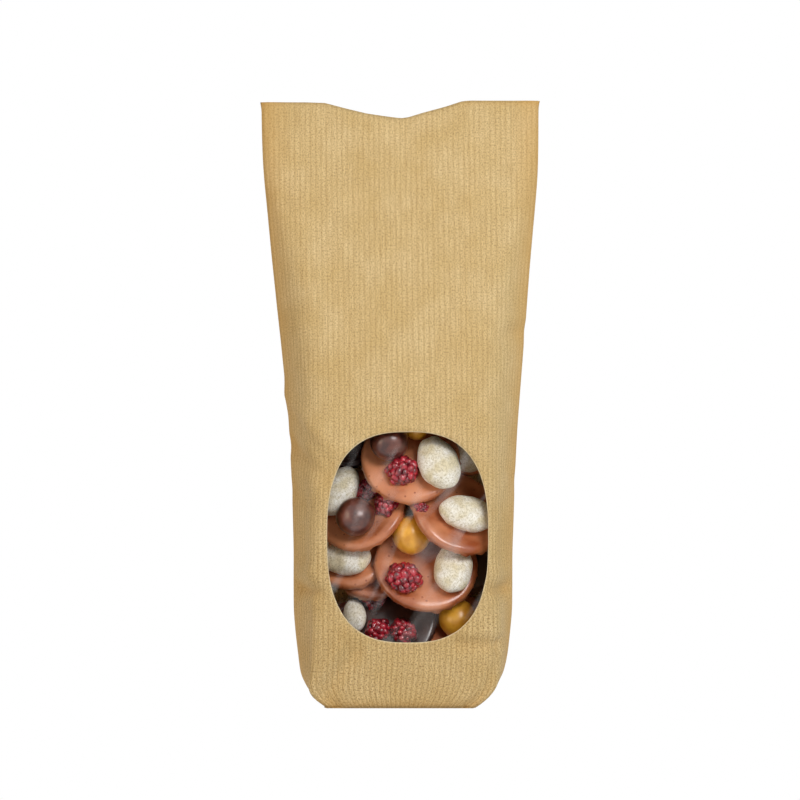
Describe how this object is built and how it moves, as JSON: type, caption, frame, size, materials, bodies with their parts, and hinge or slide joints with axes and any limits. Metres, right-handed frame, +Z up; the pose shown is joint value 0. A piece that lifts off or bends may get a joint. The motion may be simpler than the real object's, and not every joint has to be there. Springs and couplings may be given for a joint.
{
  "type": "windowed kraft paper bag",
  "caption": "Open-topped kraft paper bag standing on a folded base, with a die-cut oval film window in front and a filling of topped chocolate discs.",
  "frame": {"origin": "on the table under the middle of the bag", "axes": "+Z up, -Y towards the viewer of the window, +X to that viewer's right"},
  "size_m": [0.1194, 0.0452, 0.258],
  "materials": {
    "kraft": "fine ribbed kraft, matte",
    "film": "clear film",
    "milk_chocolate": "satin chocolate",
    "dark_chocolate": "polished chocolate",
    "gold_coating": "polished golden coating",
    "raspberry": "freeze-dried berry",
    "sugar_coating": "speckled sugar shell"
  },
  "bodies": {
    "root": {"paper_bag": "kraft", "window_film": "film", "chocolate_disc_top": "milk_chocolate", "chocolate_disc_right": "milk_chocolate", "chocolate_disc_left": "milk_chocolate", "chocolate_disc_middle": "milk_chocolate", "chocolate_disc_lower_left": "milk_chocolate", "chocolate_disc_left_edge": "milk_chocolate", "chocolate_disc_bottom": "dark_chocolate", "chocolate_disc_lower_right": "milk_chocolate", "chocolate_disc_upper_right": "milk_chocolate", "chocolate_disc_right_edge": "dark_chocolate", "chocolate_disc_upper_left": "dark_chocolate", "chocolate_disc_back_low_left": "milk_chocolate", "chocolate_disc_back_low_right": "dark_chocolate", "chocolate_disc_back_high": "dark_chocolate", "dark_hazelnut_1": "dark_chocolate", "dark_hazelnut_2": "dark_chocolate", "golden_hazelnut_1": "gold_coating", "golden_hazelnut_2": "gold_coating", "golden_hazelnut_3": "gold_coating", "raspberry_1": "raspberry", "raspberry_2": "raspberry", "raspberry_3": "raspberry", "raspberry_4": "raspberry", "raspberry_5": "raspberry", "raspberry_6": "raspberry", "raspberry_7": "raspberry", "raspberry_8": "raspberry", "sugared_almond_1": "sugar_coating", "sugared_almond_2": "sugar_coating", "sugared_almond_3": "sugar_coating", "sugared_almond_4": "sugar_coating", "sugared_almond_5": "sugar_coating", "sugared_almond_6": "sugar_coating", "sugared_almond_7": "sugar_coating"}
  },
  "joints": []
}
